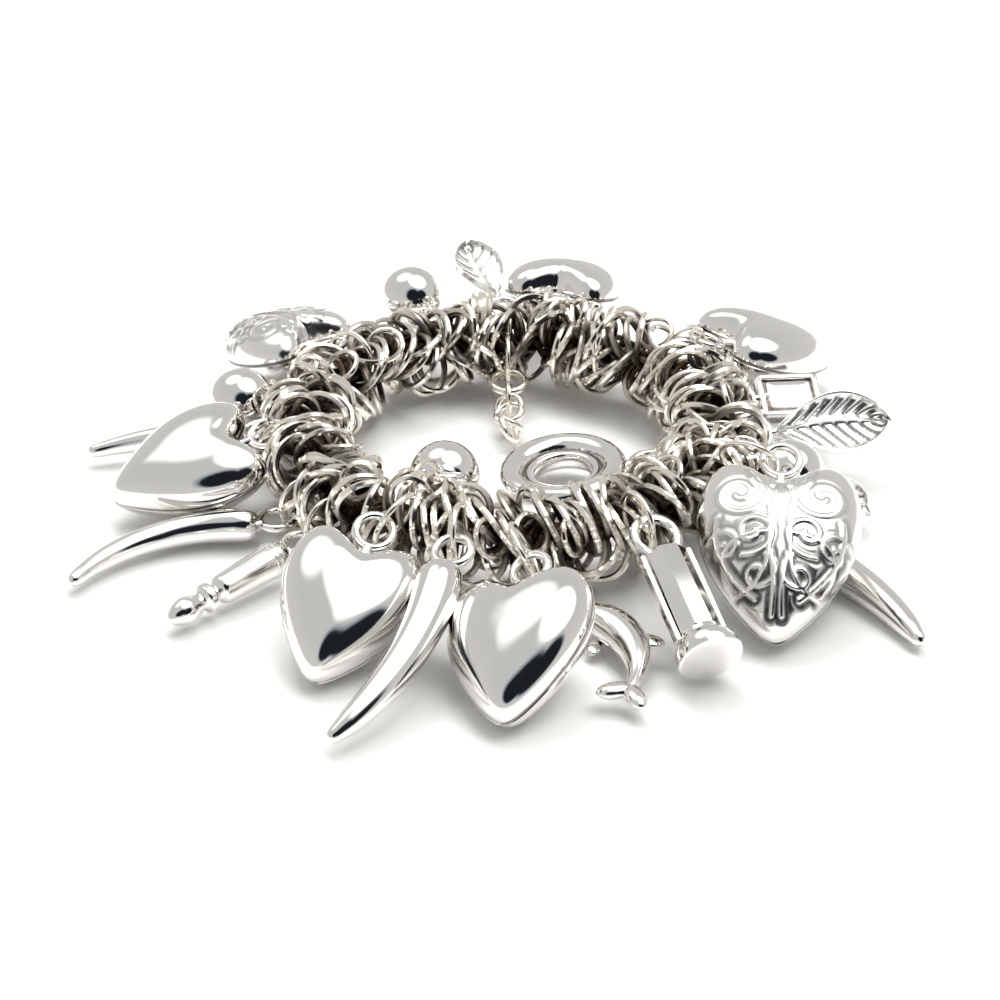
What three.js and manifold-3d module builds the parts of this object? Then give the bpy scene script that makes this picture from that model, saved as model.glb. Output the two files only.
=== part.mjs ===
// Silver charm bracelet lying closed on a table, in millimetres, +Z up.
// The origin is on the table under the middle of the whole bracelet with its charms. A charm is made in its
// own frame: its bail's centre is at the origin, +X points from the bail to the charm's far end and +Z is the
// charm's face.
import * as THREE from 'three';
import { mergeVertices } from 'three/addons/utils/BufferGeometryUtils.js';
import Module from 'manifold-3d';

const wasm = await Module();
wasm.setup();

// Driving dimensions of the band
const loopRadius = 35;
const bundleRadius = 9.2;
const bundleRidges = 32;
const bundleSides = 10;
const ridgeDepth = 0.9;
const jumpRingRadius = 4.65;
const jumpRingWire = 1.0;
const clearance = 0.5;
const charmClearance = 0.8;

// Bails, shared by all the charms
const bailRadius = 2.9;
const bailWire = 1.4;
const neckWidth = 1.8;
const neckSink = 1.8;

// Sizes of each kind of charm
const heartMiddle = 0.44; // share of a heart's length at which it is fullest
const heart = { length: 25.5, width: 21.5, depth: 12.5 };
const midHeart = { length: 26.5, width: 23.5, depth: 13.5 };
const largeHeart = { length: 31.5, width: 26, depth: 15 };
const horn = { length: 35, width: 5.6, bend: 75, tipWidth: 1.5 };
const longHorn = { length: 37, width: 7.2, bend: 40, tipWidth: 1.6 };
const shortHorn = { length: 27, width: 5.2, bend: 35, tipWidth: 1.4 };
const ball = { diameter: 11.8 };
const leaf = { length: 21, width: 12, thickness: 1.2, relief: 0.6, cup: 1.2 };
const smallLeaf = { length: 15, width: 10, thickness: 1.2, relief: 0.6, cup: 1 };
const dolphin = { length: 25, width: 6.4, flukeSpan: 9, finHeight: 3 };
const bottle = { length: 24, width: 5.6, collar: 4.6, bulb: 4.4 };
const stamp = { length: 21, width: 7, end: 10.4, stirrupWidth: 8.2 };
const plaque = { length: 11, width: 9, thickness: 2.6, rim: 1.1, recess: 0.6 };
const links = { radius: 2.4, wire: 1.1, count: 3 };
const clasp = { outerRadius: 11.1, holeRadius: 4.9, height: 5.6, lip: 1.6 };

// How each kind of charm is made from its sizes
const kinds = {
  heart: () => puffedHeart(heart),
  shortHorn: () => curvedHorn(shortHorn),
  horn: () => curvedHorn(horn),
  bottle: () => turnedBottle(bottle),
  longHorn: () => curvedHorn(longHorn),
  midHeart: () => puffedHeart(midHeart),
  largeHeart: () => puffedHeart(largeHeart),
  dolphin: () => leapingDolphin(dolphin),
  stamp: () => stampInStirrup(stamp),
  ball: () => roundBall(ball),
  leaf: () => veinedLeaf(leaf),
  smallLeaf: () => veinedLeaf(smallLeaf),
  plaque: () => rimmedPlaque(plaque),
  links: () => hangingLinks(links),
  clasp: () => claspRing(clasp),
};

// Where each charm hangs. Angles are in degrees: angle goes round the loop from +X, lift goes up round the
// bundle from its outer side, turn, dip and roll set which way the charm points from its ring.
// pull is how far its bail stands off the bundle, as a share of a jump ring's radius.
const charms = [
  { name: 'heart_left', kind: 'heart', angle: 190, lift: 27, pull: -0.45, turn: 8, dip: 17, roll: -14 },
  { name: 'horn_left_short', kind: 'shortHorn', angle: 175, lift: -14, pull: -0.1, turn: 4, dip: 9 },
  { name: 'horn_left', kind: 'horn', angle: 208, lift: -33, pull: 0.2, turn: 1, dip: 2.5 },
  { name: 'bottle_charm', kind: 'bottle', angle: 222, lift: -22, pull: 0.4, turn: 3, dip: 5 },
  { name: 'heart_front_left', kind: 'heart', angle: 243.5, lift: 23, pull: 0.9, turn: 6, dip: 27, roll: -16 },
  { name: 'horn_front', kind: 'longHorn', angle: 259.5, lift: 20, pull: 1.1, turn: -17, dip: 17, roll: 180 },
  { name: 'heart_front', kind: 'midHeart', angle: 273.5, lift: 13, pull: 1.55, turn: -12, dip: 21, roll: 22 },
  { name: 'dolphin', kind: 'dolphin', angle: 279.5, lift: -25, pull: 0.55, turn: 14, dip: 3, roll: 180 },
  { name: 'stamp_charm', kind: 'stamp', angle: 298, lift: 19, pull: 1.05, turn: -9, dip: 20 },
  { name: 'heart_scrolled_right', kind: 'largeHeart', angle: 329.5, lift: 29, pull: 1.8, turn: -65, dip: 27 },
  { name: 'ball_right', kind: 'ball', angle: 345, lift: 26, pull: -0.75, turn: -25, dip: 10 },
  { name: 'horn_right', kind: 'longHorn', angle: 331, lift: -28, pull: 0.6, turn: -25, dip: 2.5, roll: 180 },
  { name: 'leaf_right', kind: 'leaf', angle: 359, lift: -2, pull: -0.6, turn: 13, dip: 0, roll: 40 },
  { name: 'leaf_right_lower', kind: 'smallLeaf', angle: 350, lift: -29, pull: 0.4, turn: -22, dip: 2.5, roll: 15 },
  { name: 'heart_back_right', kind: 'heart', angle: 36, lift: 31, pull: 0, turn: -10, dip: 21 },
  { name: 'plaque_charm', kind: 'plaque', angle: 17, lift: -3, pull: -0.6, turn: -8, dip: 2, roll: 25 },
  { name: 'heart_back', kind: 'heart', angle: 80, lift: 31, pull: 0, turn: -3, dip: 18 },
  { name: 'leaf_back', kind: 'smallLeaf', angle: 91.5, lift: 14, pull: -0.2, turn: 24, dip: -18 },
  { name: 'ball_back_left', kind: 'ball', angle: 112, lift: 18, pull: -0.3, turn: -6, dip: 4 },
  { name: 'heart_scrolled_left', kind: 'heart', angle: 142, lift: 29, pull: -0.5, turn: -5, dip: 19 },
  { name: 'ball_left', kind: 'ball', angle: 163, lift: 15, pull: -0.85, turn: 5, dip: 18 },
  { name: 'ball_inner', kind: 'ball', angle: 244, lift: 163, pull: 0.45, turn: 208, dip: 28 },
  { name: 'link_cluster', kind: 'links', angle: 91, lift: 200, pull: 0.3, turn: 180, dip: 10 },
  { name: 'clasp_ring', kind: 'clasp', angle: 348, lift: 196, pull: 0.5, turn: 200, dip: 6 },
];

const silver = new THREE.MeshStandardMaterial({ color: 0xd8d5ce, roughness: 0.14, metalness: 1 });

// Closed solids and their joins
function signedVolume(points, faces) {
  const total = faces.reduce((sum, [a, b, c]) => {
    return sum + points[a].dot(new THREE.Vector3().crossVectors(points[b], points[c]));
  }, 0);
  return total / 6;
}

function solidFromFaces(points, faces) {
  const outward = signedVolume(points, faces) > 0;
  const ordered = outward ? faces : faces.map(([a, b, c]) => [a, c, b]);
  const vertProperties = new Float32Array(points.flatMap((point) => point.toArray()));
  const triVerts = new Uint32Array(ordered.flat());
  return new wasm.Manifold(new wasm.Mesh({ numProp: 3, vertProperties, triVerts }));
}

function solidFromGeometry(geometry) {
  const bare = geometry.clone();
  bare.deleteAttribute('normal');
  bare.deleteAttribute('uv');
  const merged = mergeVertices(bare, 1e-4);
  const { position } = merged.attributes;
  const corner = merged.index.array;
  const points = Array.from({ length: position.count }, (_, i) => {
    return new THREE.Vector3().fromBufferAttribute(position, i);
  });
  const faces = Array.from({ length: corner.length / 3 }, (_, i) => [...corner.slice(3 * i, 3 * i + 3)]);
  const whole = faces.filter(([a, b, c]) => a !== b && b !== c && c !== a);
  return solidFromFaces(points, whole);
}

function joined(solids) {
  return solids.reduce((whole, next) => whole.add(next));
}

function meshFromSolid(solid, name) {
  const { vertProperties, triVerts } = solid.getMesh();
  const geometry = new THREE.BufferGeometry();
  geometry.setAttribute('position', new THREE.BufferAttribute(new Float32Array(vertProperties), 3));
  geometry.setIndex(new THREE.BufferAttribute(new Uint32Array(triVerts), 1));
  geometry.computeVertexNormals();
  const mesh = new THREE.Mesh(geometry, silver);
  mesh.name = name;
  return mesh;
}

// A skin through closed sections of equal count, shut by a fan to a point at each end
function loft(sections, first, last) {
  const count = sections[0].length;
  const points = [...sections.flat(), first, last];
  const firstIndex = points.length - 2;
  const lastIndex = points.length - 1;
  const faces = [];
  sections.slice(1).forEach((section, row) => {
    for (let i = 0; i < count; i += 1) {
      const next = (i + 1) % count;
      const [a, b] = [row * count + i, row * count + next];
      const [c, d] = [a + count, b + count];
      faces.push([a, b, d], [a, d, c]);
    }
  });
  const end = (sections.length - 1) * count;
  for (let i = 0; i < count; i += 1) {
    const next = (i + 1) % count;
    faces.push([firstIndex, next, i], [lastIndex, end + i, end + next]);
  }
  return solidFromFaces(points, faces);
}

// A round bar that follows an arc in the XY plane. The arc's chord lies along +X from (start, 0, 0).
// profile gives the bar's half width for each share of the length.
function curvedBar({ start, length, bend, profile, sides, flatness = 1 }) {
  const curvature = bend / length;
  const sections = profile.map(({ share, half }) => {
    const heading = curvature * length * share - bend / 2;
    const x = start + (Math.sin(heading) + Math.sin(bend / 2)) / curvature;
    const y = (Math.cos(bend / 2) - Math.cos(heading)) / curvature;
    return Array.from({ length: sides }, (_, i) => {
      const turn = (2 * Math.PI * i) / sides;
      const across = half * Math.cos(turn);
      return new THREE.Vector3(
        x - across * Math.sin(heading),
        y + across * Math.cos(heading),
        half * flatness * Math.sin(turn),
      );
    });
  });
  const centre = (section) => {
    return section.reduce((sum, point) => sum.add(point), new THREE.Vector3()).divideScalar(sides);
  };
  return loft(sections, centre(sections[0]), centre(sections.at(-1)));
}

function ring(radius, wire, segments, sides) {
  return solidFromGeometry(new THREE.TorusGeometry(radius, wire / 2, sides, segments));
}

// A turned body whose axis is +X. Each profile entry is a place along the axis and a half width.
function turnedBody(profile, sides) {
  const outline = profile.map(({ x, half }) => new THREE.Vector2(half, x));
  const geometry = new THREE.LatheGeometry(outline, sides);
  geometry.rotateZ(-Math.PI / 2);
  return solidFromGeometry(geometry);
}

// The bail lies flat in the charm's XY plane. Its neck runs on to sink into the charm, whose surface is at
// seat on the X axis.
function bail(seat = bailRadius + bailWire / 2) {
  const neckLength = seat + neckSink - bailRadius;
  const neck = new THREE.CylinderGeometry(neckWidth / 2, neckWidth / 2, neckLength, 8);
  neck.rotateZ(Math.PI / 2);
  neck.translate(bailRadius + neckLength / 2, 0, 0);
  return joined([ring(bailRadius, bailWire, 12, 5), solidFromGeometry(neck)]);
}

// Charms
function heartSection({ length, width }, scale, z) {
  const points = 22;
  const lobeTop = 10.8;
  const tip = -15.5;
  return Array.from({ length: points }, (_, i) => {
    const t = (2 * Math.PI * i) / points;
    const along = 13 * Math.cos(t) - 3.5 * Math.cos(2 * t) - 1.5 * Math.cos(3 * t) - 0.5 * Math.cos(4 * t);
    const share = (lobeTop - along) / (lobeTop - tip);
    const across = (0.92 * Math.sin(t) - 0.1 * Math.sin(3 * t)) / 1.02;
    const start = bailRadius - bailWire / 2;
    const x = start + length * (heartMiddle + scale * (share - heartMiddle));
    return new THREE.Vector3(x, (scale * across * width) / 2, z);
  });
}

function puffedHeart(size) {
  const levels = [0.45, 0.8, 1, 0.8, 0.45];
  const middle = bailRadius - bailWire / 2 + size.length * heartMiddle;
  const sections = levels.map((scale, row) => {
    const side = Math.sign(row - 2);
    return heartSection(size, scale, (side * size.depth * Math.sqrt(1 - scale * scale)) / 2);
  });
  const back = new THREE.Vector3(middle, 0, -size.depth / 2);
  const front = new THREE.Vector3(middle, 0, size.depth / 2);
  const cleft = heartSection(size, 1, 0)[0].x;
  return joined([loft(sections, back, front), bail(cleft)]);
}

function curvedHorn({ length, width, bend, tipWidth }) {
  const profile = [
    { share: 0, half: width * 0.3 },
    { share: 0.03, half: width * 0.44 },
    { share: 0.1, half: width * 0.5 },
    { share: 0.3, half: width * 0.46 },
    { share: 0.5, half: width * 0.38 },
    { share: 0.7, half: width * 0.28 },
    { share: 0.87, half: width * 0.18 },
    { share: 0.97, half: tipWidth / 2 },
    { share: 1, half: tipWidth / 4 },
  ];
  const turned = THREE.MathUtils.degToRad(bend);
  const bar = curvedBar({ start: bailRadius + bailWire / 2, length, bend: turned, profile, sides: 8 });
  return joined([bar, bail()]);
}

function roundBall({ diameter }) {
  const sphere = new THREE.SphereGeometry(diameter / 2, 12, 8);
  sphere.translate(bailRadius + bailWire / 2 + diameter / 2, 0, 0);
  return joined([solidFromGeometry(sphere), bail()]);
}

function veinedLeaf({ length, width, thickness, relief, cup }) {
  const rows = 11;
  const slant = 0.55;
  const start = bailRadius + bailWire / 2;
  const topColumns = [-1, -0.78, -0.4, 0, 0.4, 0.78, 1];
  const bottomColumns = [1, 0, -1];
  const sections = Array.from({ length: rows }, (_, row) => {
    const share = (row + 0.6) / (rows + 0.2);
    const half = (width / 2) * Math.sin(Math.PI * share ** 0.85) ** 0.8;
    const place = (column, z) => {
      const x = start + length * 0.94 * share + Math.abs(column) * half * slant * (1 - share);
      return new THREE.Vector3(x, column * half, z + cup * column * column);
    };
    const height = (column) => {
      const raised = column === 0 || Math.abs(column) === 1 || row % 2 === 0;
      return thickness / 2 + (raised ? relief : 0);
    };
    const top = topColumns.map((column) => place(column, height(column)));
    const bottom = bottomColumns.map((column) => place(column, -thickness / 2));
    return [...top, ...bottom];
  });
  const stem = new THREE.Vector3(start, 0, 0);
  const tip = new THREE.Vector3(start + length, 0, 0);
  return joined([loft(sections, stem, tip), bail()]);
}

function leapingDolphin({ length, width, flukeSpan, finHeight }) {
  const start = bailRadius + bailWire / 2;
  const bend = THREE.MathUtils.degToRad(100);
  const profile = [
    { share: 0, half: width * 0.14 },
    { share: 0.08, half: width * 0.24 },
    { share: 0.16, half: width * 0.4 },
    { share: 0.32, half: width * 0.5 },
    { share: 0.5, half: width * 0.48 },
    { share: 0.68, half: width * 0.36 },
    { share: 0.84, half: width * 0.22 },
    { share: 1, half: width * 0.14 },
  ];
  const body = curvedBar({ start, length, bend, profile, sides: 8, flatness: 0.9 });
  const chord = (length * Math.sin(bend / 2)) / (bend / 2);
  const flukes = [-1, 1].map((side) => {
    const lobe = new THREE.SphereGeometry(1, 8, 6);
    lobe.scale(flukeSpan * 0.3, width * 0.2, width * 0.17);
    lobe.translate(flukeSpan * 0.24, 0, 0);
    lobe.rotateZ(bend / 2 + side * THREE.MathUtils.degToRad(48));
    lobe.translate(start + chord, 0, 0);
    return solidFromGeometry(lobe);
  });
  const fin = new THREE.ConeGeometry(width * 0.3, finHeight + width * 0.3, 6);
  fin.scale(1, 1, 0.4);
  fin.rotateZ(Math.PI);
  const crown = (length / bend) * (1 - Math.cos(bend / 2));
  fin.translate(start + chord * 0.5, -crown - width * 0.4 - finHeight / 2, 0);
  return joined([body, ...flukes, solidFromGeometry(fin), bail()]);
}

function turnedBottle({ length, width, collar, bulb }) {
  const start = bailRadius + bailWire / 2;
  const profile = [
    { x: start, half: 0 },
    { x: start, half: width * 0.3 },
    { x: start + length * 0.08, half: width * 0.5 },
    { x: start + length * 0.56, half: width * 0.42 },
    { x: start + length * 0.6, half: width * 0.25 },
    { x: start + length * 0.64, half: collar / 2 },
    { x: start + length * 0.7, half: collar / 2 },
    { x: start + length * 0.73, half: bulb * 0.36 },
    { x: start + length * 0.84, half: bulb / 2 },
    { x: start + length * 0.95, half: bulb * 0.34 },
    { x: start + length, half: 0 },
  ];
  return joined([turnedBody(profile, 8), bail()]);
}

function stampInStirrup({ length, width, end, stirrupWidth }) {
  const shoulder = bailRadius * 1.25;
  const profile = [
    { x: shoulder, half: 0 },
    { x: shoulder, half: width / 2 },
    { x: shoulder + length * 0.8, half: width / 2 },
    { x: shoulder + length * 0.88, half: end / 2 },
    { x: shoulder + length, half: end / 2 },
    { x: shoulder + length, half: 0 },
  ];
  const stirrup = new THREE.TorusGeometry(bailRadius, bailWire / 2, 5, 12);
  const outerRadius = bailRadius + bailWire / 2;
  stirrup.scale(1.3, stirrupWidth / 2 / outerRadius, 1);
  return joined([turnedBody(profile, 10), solidFromGeometry(stirrup)]);
}

function rimmedPlaque({ length, width, thickness, rim, recess }) {
  const middle = bailRadius + bailWire / 2 + length / 2;
  const block = new THREE.BoxGeometry(length, width, thickness);
  block.translate(middle, 0, 0);
  const panel = new THREE.BoxGeometry(length - 2 * rim, width - 2 * rim, 2 * recess);
  panel.translate(middle, 0, thickness / 2);
  return solidFromGeometry(block).subtract(solidFromGeometry(panel)).add(bail());
}

// Small links in a row, each turned a quarter against the one before and soldered where they cross
function hangingLinks({ radius, wire, count }) {
  const step = 2 * radius - wire * 0.4;
  const small = Array.from({ length: count }, (_, i) => {
    const link = new THREE.TorusGeometry(radius, wire / 2, 5, 10);
    link.rotateX((i + 1) * (Math.PI / 2) + 0.3 * i);
    link.translate(bailRadius + radius - wire * 0.6 + i * step, 0, 0);
    return solidFromGeometry(link);
  });
  return joined([ring(bailRadius, bailWire, 12, 5), ...small]);
}

// A thick plain ring with a lower lip round its hole, and the eyelet on its outer side
function claspRing({ outerRadius, holeRadius, height, lip }) {
  const half = height / 2;
  const wall = outerRadius - holeRadius;
  const section = [
    [holeRadius, -half * 0.45],
    [holeRadius, half * 0.3],
    [holeRadius + lip, half * 0.5],
    [holeRadius + wall * 0.45, half * 0.92],
    [holeRadius + wall * 0.7, half],
    [outerRadius - wall * 0.08, half * 0.6],
    [outerRadius, 0],
    [outerRadius - wall * 0.08, -half * 0.6],
    [holeRadius + wall * 0.7, -half],
    [holeRadius + wall * 0.3, -half * 0.9],
    [holeRadius, -half * 0.45],
  ].map(([x, y]) => new THREE.Vector2(x, y));
  const body = new THREE.LatheGeometry(section, 20);
  body.rotateX(Math.PI / 2);
  body.translate(bailRadius + bailWire / 2 + outerRadius, 0, 0);
  return joined([solidFromGeometry(body), bail()]);
}

// Where a charm's bail is, and which way it points
function placeOf({ angle, lift, pull, turn, dip, roll = 0 }) {
  const around = THREE.MathUtils.degToRad(angle);
  const up = THREE.MathUtils.degToRad(lift);
  const outward = new THREE.Vector3(Math.cos(around), Math.sin(around), 0);
  const stand = outward.clone().multiplyScalar(Math.cos(up)).setZ(Math.sin(up));
  const reach = bundleRadius + pull * jumpRingRadius;
  const position = outward.multiplyScalar(loopRadius).setZ(bundleRadius).addScaledVector(stand, reach);
  const toRadians = THREE.MathUtils.degToRad;
  const rotation = new THREE.Euler(toRadians(roll), toRadians(dip), toRadians(angle + turn), 'ZYX');
  return { position, rotation, stand };
}

// The jump ring that carries a bail. It goes through the bail's hole in a plane square to the bail, and the
// near side of the bail hangs in its outer end.
function carryingRing(row) {
  const { position, rotation, stand } = placeOf(row);
  const face = new THREE.Vector3(0, 0, 1).applyEuler(rotation);
  const drop = new THREE.Vector3(1, 0, 0).applyEuler(rotation);
  const along = stand.clone().addScaledVector(face, -stand.dot(face)).addScaledVector(drop, 0.1).normalize();
  const hang = jumpRingRadius - (bailWire + jumpRingWire) / 2 - clearance;
  const centre = position.clone().addScaledVector(along, -bailRadius).addScaledVector(stand, -hang);
  const basis = new THREE.Matrix4().makeBasis(along, face, new THREE.Vector3().crossVectors(along, face));
  basis.setPosition(centre);
  const geometry = new THREE.TorusGeometry(jumpRingRadius, jumpRingWire / 2, 5, 10);
  geometry.applyMatrix4(basis);
  return solidFromGeometry(geometry);
}

// Room in the bundle for a bail that sits close to it
function bailRoom(row) {
  const { position, rotation } = placeOf(row);
  const sides = 10;
  const radius = (bailRadius + bailWire / 2 + clearance) / Math.cos(Math.PI / sides);
  const slot = new THREE.CylinderGeometry(radius, radius, bailWire + 2 * clearance, sides);
  slot.rotateX(Math.PI / 2);
  slot.applyMatrix4(new THREE.Matrix4().makeRotationFromEuler(rotation).setPosition(position));
  return solidFromGeometry(slot);
}

// Room in the bundle for a charm that is pressed against it: the charm itself, made a little larger
function charmRoom(row) {
  const { position, rotation } = placeOf(row);
  const { geometry } = meshFromSolid(kinds[row.kind](), row.name);
  geometry.computeBoundingBox();
  const middle = geometry.boundingBox.getCenter(new THREE.Vector3());
  const size = geometry.boundingBox.getSize(new THREE.Vector3());
  const growth = size.clone().addScalar(2 * charmClearance).divide(size);
  const place = new THREE.Matrix4().makeRotationFromEuler(rotation).setPosition(position);
  place.multiply(new THREE.Matrix4().makeTranslation(middle));
  place.scale(growth);
  place.multiply(new THREE.Matrix4().makeTranslation(middle.negate()));
  return solidFromGeometry(geometry.applyMatrix4(place));
}

// The thick bundle of jump rings as one ridged round bar that closes on itself
function ringBundle() {
  const steps = 2 * bundleRidges;
  const points = [];
  const faces = [];
  for (let step = 0; step < steps; step += 1) {
    const around = (2 * Math.PI * step) / steps;
    const radius = bundleRadius - (step % 2) * ridgeDepth;
    for (let side = 0; side < bundleSides; side += 1) {
      const turn = (2 * Math.PI * (side + 0.5)) / bundleSides;
      const fromAxis = loopRadius + radius * Math.cos(turn);
      const x = fromAxis * Math.cos(around);
      const y = fromAxis * Math.sin(around);
      points.push(new THREE.Vector3(x, y, bundleRadius + radius * Math.sin(turn)));
    }
  }
  for (let step = 0; step < steps; step += 1) {
    for (let side = 0; side < bundleSides; side += 1) {
      const a = step * bundleSides + side;
      const b = step * bundleSides + ((side + 1) % bundleSides);
      const c = (a + bundleSides) % points.length;
      const d = (b + bundleSides) % points.length;
      faces.push([a, b, d], [a, d, c]);
    }
  }
  return solidFromFaces(points, faces);
}

function ringBand() {
  const rooms = [...charms.map(bailRoom), ...charms.map(charmRoom)];
  const open = rooms.reduce((bundle, room) => bundle.subtract(room), ringBundle());
  return joined([open, ...charms.map(carryingRing)]);
}

// The loop is built about its own middle, then set down with the origin under the middle of the whole
const loop = new THREE.Group();
loop.add(meshFromSolid(ringBand(), 'ring_band'));
charms.forEach((row) => {
  const { position, rotation } = placeOf(row);
  const mesh = meshFromSolid(kinds[row.kind](), row.name);
  mesh.position.copy(position);
  mesh.rotation.copy(rotation);
  loop.add(mesh);
});
const extent = new THREE.Box3().setFromObject(loop, true);
const middle = extent.getCenter(new THREE.Vector3()).setZ(extent.min.z);
loop.position.copy(middle.negate());

const bracelet = new THREE.Group();
bracelet.add(loop);

export default bracelet;
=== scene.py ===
import math
import random
from collections import namedtuple

import bmesh
import bpy
from mathutils import Matrix, Vector, kdtree


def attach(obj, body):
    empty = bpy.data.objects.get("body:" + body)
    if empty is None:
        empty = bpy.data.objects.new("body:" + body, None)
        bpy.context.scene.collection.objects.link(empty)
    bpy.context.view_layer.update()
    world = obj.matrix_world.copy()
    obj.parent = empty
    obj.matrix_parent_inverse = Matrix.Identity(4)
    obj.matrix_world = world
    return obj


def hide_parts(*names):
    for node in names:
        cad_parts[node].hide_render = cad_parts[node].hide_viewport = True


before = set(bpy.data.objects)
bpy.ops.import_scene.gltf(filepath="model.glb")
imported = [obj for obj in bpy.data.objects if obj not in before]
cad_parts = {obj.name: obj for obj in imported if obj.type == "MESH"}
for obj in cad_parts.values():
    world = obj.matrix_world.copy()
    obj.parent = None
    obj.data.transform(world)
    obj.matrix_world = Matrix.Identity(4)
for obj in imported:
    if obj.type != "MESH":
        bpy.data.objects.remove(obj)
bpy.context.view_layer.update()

MM = 0.001
TAU = 2 * math.pi

# The band, as in the CAD model
LOOP_MIDDLE = Vector((3.881, 6.916, 0.3638))
LOOP_RADIUS = 35
BUNDLE_RADIUS = 9.2
JUMP_RING_RADIUS = 4.65
JUMP_RING_WIRE = 1.0
CLEARANCE = 0.5

# Bails, as in the CAD model
BAIL_RADIUS = 2.9
BAIL_WIRE = 1.4
NECK_WIDTH = 1.8
NECK_SINK = 1.8
NECK_SWELL = 0.55
BAIL_END = BAIL_RADIUS + BAIL_WIRE / 2

# Charm sizes, as in the CAD model
HEART = {"length": 25.5, "width": 21.5, "depth": 12.5}
MID_HEART = {"length": 26.5, "width": 23.5, "depth": 13.5}
LARGE_HEART = {"length": 31.5, "width": 26, "depth": 15}
HORN = {"length": 35, "width": 5.6, "bend": 75, "tip": 1.5}
LONG_HORN = {"length": 37, "width": 7.2, "bend": 40, "tip": 1.6}
SHORT_HORN = {"length": 27, "width": 5.2, "bend": 35, "tip": 1.4}
BALL = {"diameter": 11.8}
LEAF = {"length": 21, "width": 12, "thickness": 1.2, "relief": 0.6, "cup": 1.2, "veins": 7}
SMALL_LEAF = {"length": 15, "width": 10, "thickness": 1.2, "relief": 0.6, "cup": 1.0, "veins": 5}
DOLPHIN = {"length": 25, "width": 6.4, "fluke_span": 9, "fin_height": 3}
BOTTLE = {"length": 24, "width": 5.6, "collar": 4.6, "bulb": 4.4}
STAMP = {"length": 21, "width": 7, "end": 10.4, "stirrup_width": 8.2}
PLAQUE = {"length": 11, "width": 9, "thickness": 2.6, "rim": 1.1, "recess": 0.6}
LINKS = {"radius": 2.4, "wire": 1.1, "count": 3}
CLASP = {"outer": 11.1, "hole": 4.9, "height": 5.6, "lip": 1.6}

# Where each charm hangs, as in the CAD model, in degrees, with pull as a share of a jump ring's radius
Charm = namedtuple("Charm", "name kind angle lift pull turn dip roll", defaults=[0])
CHARMS = [
    Charm("heart_left", "heart", 190, 27, -0.45, 8, 17, -14),
    Charm("horn_left_short", "short_horn", 175, -14, -0.1, 4, 9),
    Charm("horn_left", "horn", 208, -33, 0.2, 1, 2.5),
    Charm("bottle_charm", "bottle", 222, -22, 0.4, 3, 5),
    Charm("heart_front_left", "heart", 243.5, 23, 0.9, 6, 27, -16),
    Charm("horn_front", "long_horn", 259.5, 20, 1.1, -17, 17, 180),
    Charm("heart_front", "mid_heart", 273.5, 13, 1.55, -12, 21, 22),
    Charm("dolphin", "dolphin", 279.5, -25, 0.55, 14, 3, 180),
    Charm("stamp_charm", "stamp", 298, 19, 1.05, -9, 20),
    Charm("heart_scrolled_right", "large_scrolled", 329.5, 29, 1.8, -65, 27),
    Charm("ball_right", "ball", 345, 26, -0.75, -25, 10),
    Charm("horn_right", "long_horn", 331, -28, 0.6, -25, 2.5, 180),
    Charm("leaf_right", "leaf", 359, -2, -0.6, 13, 0, 40),
    Charm("leaf_right_lower", "small_leaf", 350, -29, 0.4, -22, 2.5, 15),
    Charm("heart_back_right", "heart", 36, 31, 0, -10, 21),
    Charm("plaque_charm", "plaque", 17, -3, -0.6, -8, 2, 25),
    Charm("heart_back", "heart", 80, 31, 0, -3, 18),
    Charm("leaf_back", "small_leaf", 91.5, 14, -0.2, 24, -18),
    Charm("ball_back_left", "ball", 112, 18, -0.3, -6, 4),
    Charm("heart_scrolled_left", "scrolled", 142, 29, -0.5, -5, 19),
    Charm("ball_left", "ball", 163, 15, -0.85, 5, 18),
    Charm("ball_inner", "ball", 244, 163, 0.45, 208, 28),
    Charm("link_cluster", "links", 91, 200, 0.3, 180, 10),
    Charm("clasp_ring", "clasp", 348, 196, 0.5, 200, 6),
]

# The loose jump rings that fill the band, in bunches that lean the same way
BAND_SEED = 11
BUNCHES = 92
BUNCH_RINGS = (3, 5)
BUNCH_SPREAD = 15
BUNCH_TWIST = 38
BUNCH_TILT = 20
RING_WOBBLE = 11
RING_SPACING = 1.4
SPACING_SHARE = (0.8, 1.25)
RING_OFFSET = 3.95
OFFSET_SHARE = (0.86, 1.0)
BAND_WIRE = 1.15
SLIT = 0.1
CARRYING_SLIT_START = (2, 4)
SMALL_RINGS = 30
SMALL_RING_RADIUS = 3.1
SMALL_RING_WIRE = 0.95
SMALL_RING_SIDE = (-0.5, 2.6)
SMALL_RING_LEAN = (25, 70)
CORE_LINKS = 60
CORE_LINK_RADIUS = 2.5
CORE_LINK_WIRE = 1.1
# Painted shade, with some tarnish, on the rings deep inside the bundle: how far below its surface it starts,
# and how deep it grows to full
DEPTH_SHADE_START = 1.3
DEPTH_SHADE_SPAN = 4.2

# Fineness of the meshes
RING_SEGMENTS = 27
RING_SIDES = 7
BAIL_SEGMENTS = 40
BAIL_SIDES = 14
ROUND = 48
SMOOTH_ANGLE = 50
FACET_ANGLE = 22


# Shells: closed meshes in millimetres, with a darkening value from 0 to 1 at each point, for tarnish and for
# painted shade
class Shell:
    def __init__(self, points, faces, tarnish_and_shade=None):
        self.points = [Vector(point) for point in points]
        self.faces = faces
        self.tarnish_and_shade = tarnish_and_shade or [0.0] * len(self.points)

    def moved(self, matrix):
        return Shell([matrix @ point for point in self.points], self.faces, self.tarnish_and_shade)


def joined(shells):
    points, faces, tarnish_and_shade = [], [], []
    for shell in shells:
        start = len(points)
        points += shell.points
        faces += [[corner + start for corner in face] for face in shell.faces]
        tarnish_and_shade += shell.tarnish_and_shade
    return Shell(points, faces, tarnish_and_shade)


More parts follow.
